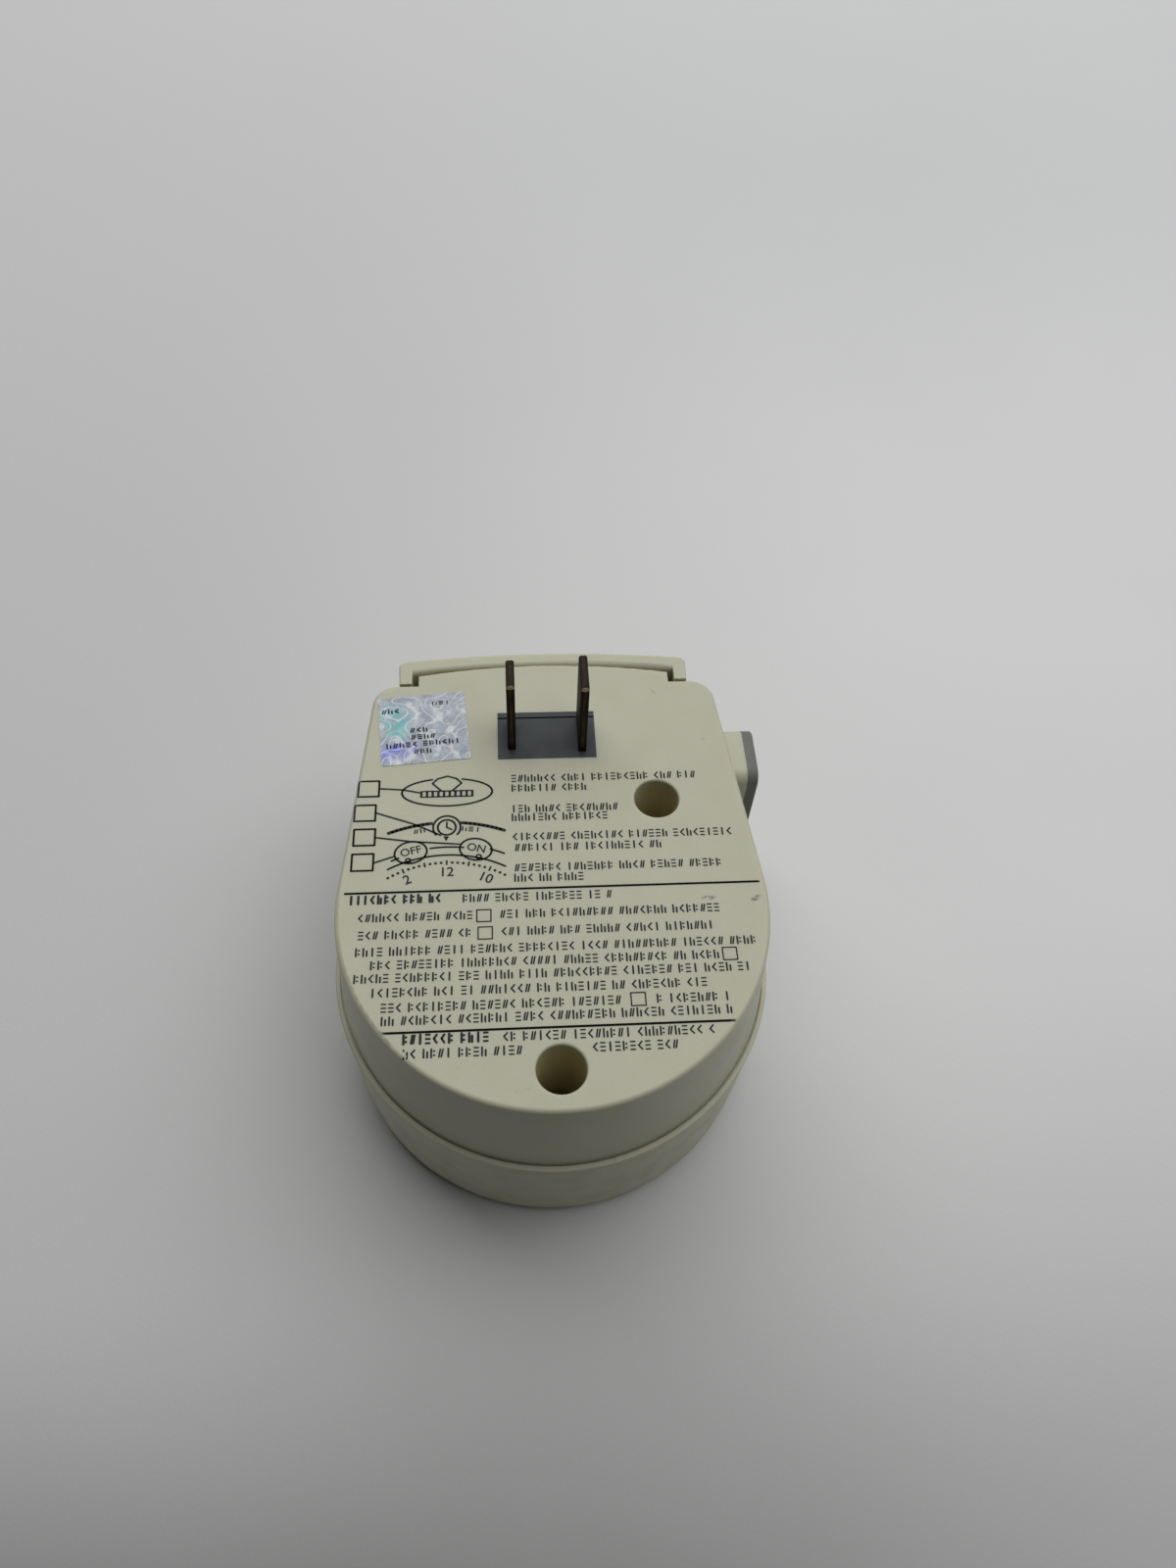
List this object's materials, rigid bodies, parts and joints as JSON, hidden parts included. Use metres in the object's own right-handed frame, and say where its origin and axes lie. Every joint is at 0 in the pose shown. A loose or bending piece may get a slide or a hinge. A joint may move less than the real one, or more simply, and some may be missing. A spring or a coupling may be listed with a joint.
{
  "type": "plug in timer switch",
  "caption": "Mechanical 24 hour plug-in timer: round dial with ON and OFF setting tabs, thumb override wheel, two flat polarised plug blades and a side outlet.",
  "frame": {"origin": "middle of the blade insert's outer face, halfway between the two blades, in the plane of the rear face", "axes": "+Z out of the rear face along the blades, +Y towards the end with the thumb wheel, +X towards the side outlet"},
  "size_m": [0.078, 0.093, 0.0636],
  "materials": {
    "cream_shell": "fine moulded texture",
    "grey_insert": "satin moulding",
    "blade_brass": "tarnished",
    "clip_brass": "bright stamping",
    "contact_silver": "polished button",
    "dial_white": "satin moulding",
    "dial_print": "printed face",
    "on_green": "satin moulding",
    "off_red": "satin moulding",
    "wheel_black": "satin moulding",
    "gear_nylon": "natural nylon",
    "plate_steel": "zinc plated",
    "pin_steel": "ground",
    "spring_steel": "spring wire",
    "coil_copper": "enamelled winding",
    "bobbin_plastic": "natural nylon",
    "block_phenolic": "moulded",
    "rotor_ferrite": "sintered",
    "lead_black": "insulated wire",
    "lead_white": "insulated wire",
    "foil_silver": "holographic foil"
  },
  "bodies": {
    "case": {"blade_carrier": "grey_insert", "clock_emblem": "dial_white", "contact_block": "block_phenolic", "detent_spring": "spring_steel", "fixed_contact_rivet": "contact_silver", "foil_label": "foil_silver", "front_housing": "cream_shell", "housing_screws": "pin_steel", "lever_pin": "pin_steel", "line_outlet_clip": "clip_brass", "line_strip": "clip_brass", "load_strip": "clip_brass", "mechanism_plate": "plate_steel", "motor_bobbin": "bobbin_plastic", "motor_can": "plate_steel", "motor_coil": "coil_copper", "motor_end_plate": "plate_steel", "motor_lead_line": "lead_black", "motor_lead_neutral": "lead_white", "motor_screws": "pin_steel", "narrow_blade": "blade_brass", "neutral_outlet_clip": "clip_brass", "neutral_strip": "clip_brass", "outlet_block": "grey_insert", "override_pin": "pin_steel", "plate_screws": "pin_steel", "rear_cover": "cream_shell", "screw_wells": "cream_shell", "train_pins": "pin_steel", "wide_blade": "blade_brass"},
    "dial": {"dial_wheel": "dial_white", "dial_flange": "dial_white", "dial_face": "dial_print", "dial_shaft": "pin_steel", "dial_gear": "gear_nylon", "clutch_washer": "spring_steel", "retaining_ring": "spring_steel"},
    "on_slider": {"on_tab_shoe": "dial_white", "on_tab_spring": "spring_steel"},
    "on_button": {"on_tab": "on_green"},
    "off_slider": {"off_tab_shoe": "dial_white", "off_tab_spring": "spring_steel"},
    "off_button": {"off_tab": "off_red"},
    "override": {"override_wheel": "wheel_black", "trip_star": "gear_nylon", "switch_cam": "gear_nylon"},
    "first_gear": {"first_gear": "gear_nylon"},
    "second_gear": {"second_gear": "gear_nylon"},
    "motor_spindle": {"motor_rotor": "rotor_ferrite", "motor_pinion": "gear_nylon"},
    "lever": {"switch_lever": "gear_nylon"},
    "contact_arm": {"moving_contact": "clip_brass", "moving_contact_rivet": "contact_silver"}
  },
  "joints": [
    {"name": "dial_turn", "type": "hinge", "parent": "case", "child": "dial", "pos_m": [0, -0.0347, -0.0463], "axis": [0, 0, 1], "continuous": true},
    {"name": "on_tab_move", "type": "hinge", "parent": "dial", "child": "on_slider", "pos_m": [0, -0.0347, -0.0463], "axis": [0, 0, 1], "range_deg": [-33, 123]},
    {"name": "on_tab_push", "type": "slide", "parent": "on_slider", "child": "on_button", "axis": [0, 0, 1], "range_m": [0, 0.0008], "stiffness_N_per_m": 150, "springref_m": -0.001, "deforming": ["on_tab_spring"]},
    {"name": "off_tab_move", "type": "hinge", "parent": "dial", "child": "off_slider", "pos_m": [0, -0.0347, -0.0463], "axis": [0, 0, 1], "range_deg": [-123, 33]},
    {"name": "off_tab_push", "type": "slide", "parent": "off_slider", "child": "off_button", "axis": [0, 0, 1], "range_m": [0, 0.0008], "stiffness_N_per_m": 150, "springref_m": -0.001, "deforming": ["off_tab_spring"]},
    {"name": "override_turn", "type": "hinge", "parent": "case", "child": "override", "pos_m": [0, 0.0038, -0.0463], "axis": [0, 0, 1], "continuous": true},
    {"name": "first_gear_spin", "type": "hinge", "parent": "case", "child": "first_gear", "pos_m": [-0.0126, -0.01288, -0.0463], "axis": [0, 0, 1], "continuous": true},
    {"name": "second_gear_spin", "type": "hinge", "parent": "case", "child": "second_gear", "pos_m": [-0.01773, -0.02697, -0.0463], "axis": [0, 0, 1], "continuous": true},
    {"name": "motor_spin", "type": "hinge", "parent": "case", "child": "motor_spindle", "pos_m": [-0.01345, -0.03872, -0.0463], "axis": [0, 0, 1], "continuous": true},
    {"name": "lever_swing", "type": "hinge", "parent": "case", "child": "lever", "pos_m": [-0.0086, -0.008, -0.025], "axis": [0, 0, 1], "range_deg": [-8.4, 0]},
    {"name": "contact_swing", "type": "hinge", "parent": "case", "child": "contact_arm", "pos_m": [-0.012, -0.007, -0.025], "axis": [0, 0, 1], "range_deg": [-9, 0]}
  ],
  "couplings": [
    {"joint": "first_gear_spin", "follows": "dial_turn", "ratio": -5},
    {"joint": "second_gear_spin", "follows": "dial_turn", "ratio": 20},
    {"joint": "motor_spin", "follows": "dial_turn", "ratio": -80},
    {"joint": "contact_swing", "follows": "lever_swing", "ratio": 1.0667}
  ]
}
